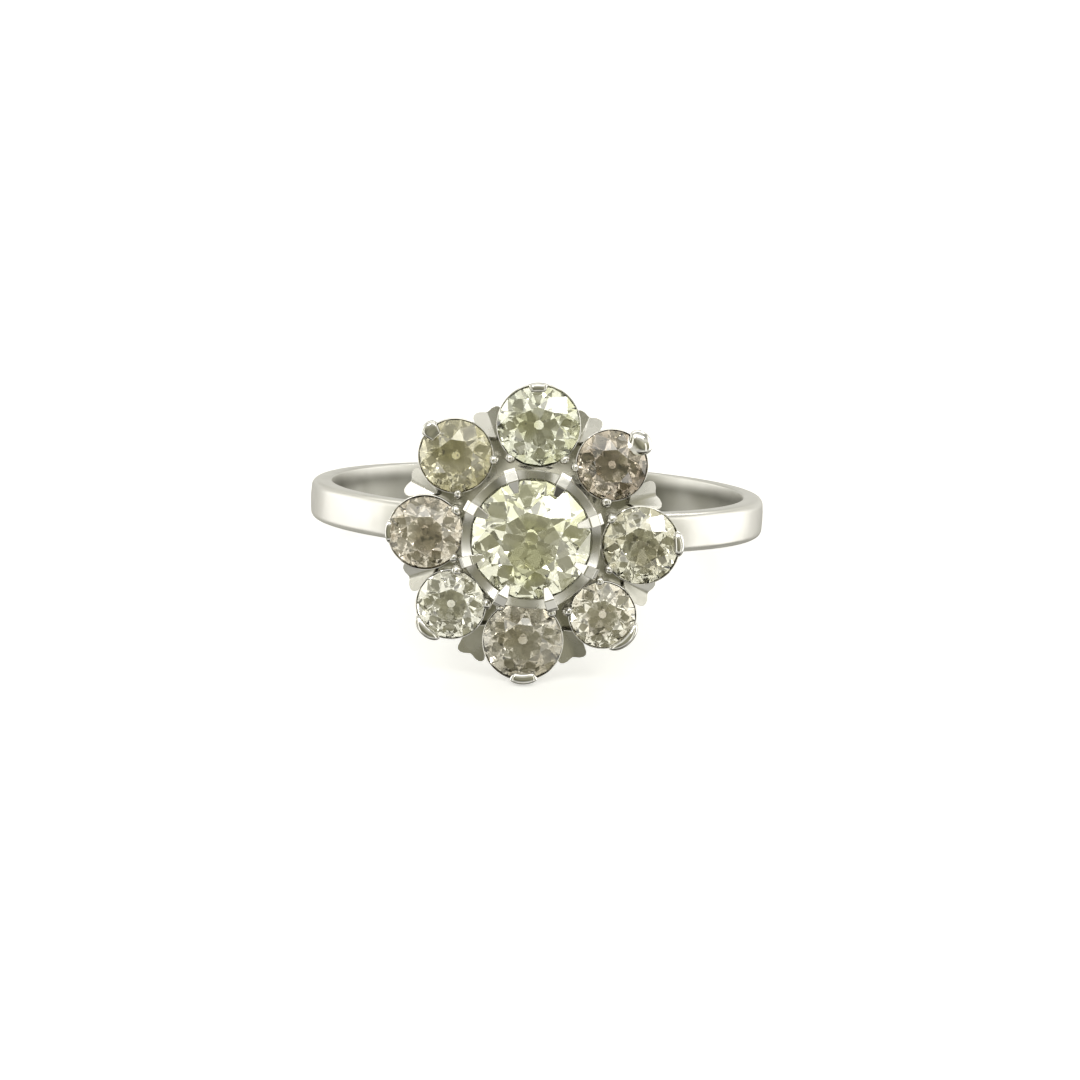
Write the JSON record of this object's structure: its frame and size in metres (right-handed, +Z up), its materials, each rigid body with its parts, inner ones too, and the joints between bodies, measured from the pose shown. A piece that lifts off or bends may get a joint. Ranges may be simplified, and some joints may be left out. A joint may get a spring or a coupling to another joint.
{
  "type": "cluster ring",
  "caption": "Finger ring with a plain shank and a round flower cluster head of old-cut stones around a raised centre stone, lying on its side.",
  "frame": {"origin": "centre of the finger bore, where the finger's axis crosses the shank's middle plane", "axes": "+Z up from the floor that the ring lies on, -Y towards the flower head and +X across it"},
  "size_m": [0.019, 0.0219, 0.0119],
  "materials": {
    "white_metal": "polished white precious metal, slightly worn, darker in the recesses",
    "centre_stone_gem": "old cut gem, polished facets, faint tint",
    "stone_top_gem": "old cut gem, polished facets, faint tint",
    "stone_upper_right_gem": "old cut gem, polished facets, faint tint",
    "stone_right_gem": "old cut gem, polished facets, faint tint",
    "stone_lower_right_gem": "old cut gem, polished facets, faint tint",
    "stone_bottom_gem": "old cut gem, polished facets, faint tint",
    "stone_lower_left_gem": "old cut gem, polished facets, faint tint",
    "stone_left_gem": "old cut gem, polished facets, faint tint",
    "stone_upper_left_gem": "old cut gem, polished facets, faint tint"
  },
  "bodies": {
    "root": {"ring_mount": "white_metal", "centre_stone": "centre_stone_gem", "stone_top": "stone_top_gem", "stone_upper_right": "stone_upper_right_gem", "stone_right": "stone_right_gem", "stone_lower_right": "stone_lower_right_gem", "stone_bottom": "stone_bottom_gem", "stone_lower_left": "stone_lower_left_gem", "stone_left": "stone_left_gem", "stone_upper_left": "stone_upper_left_gem"}
  },
  "joints": []
}
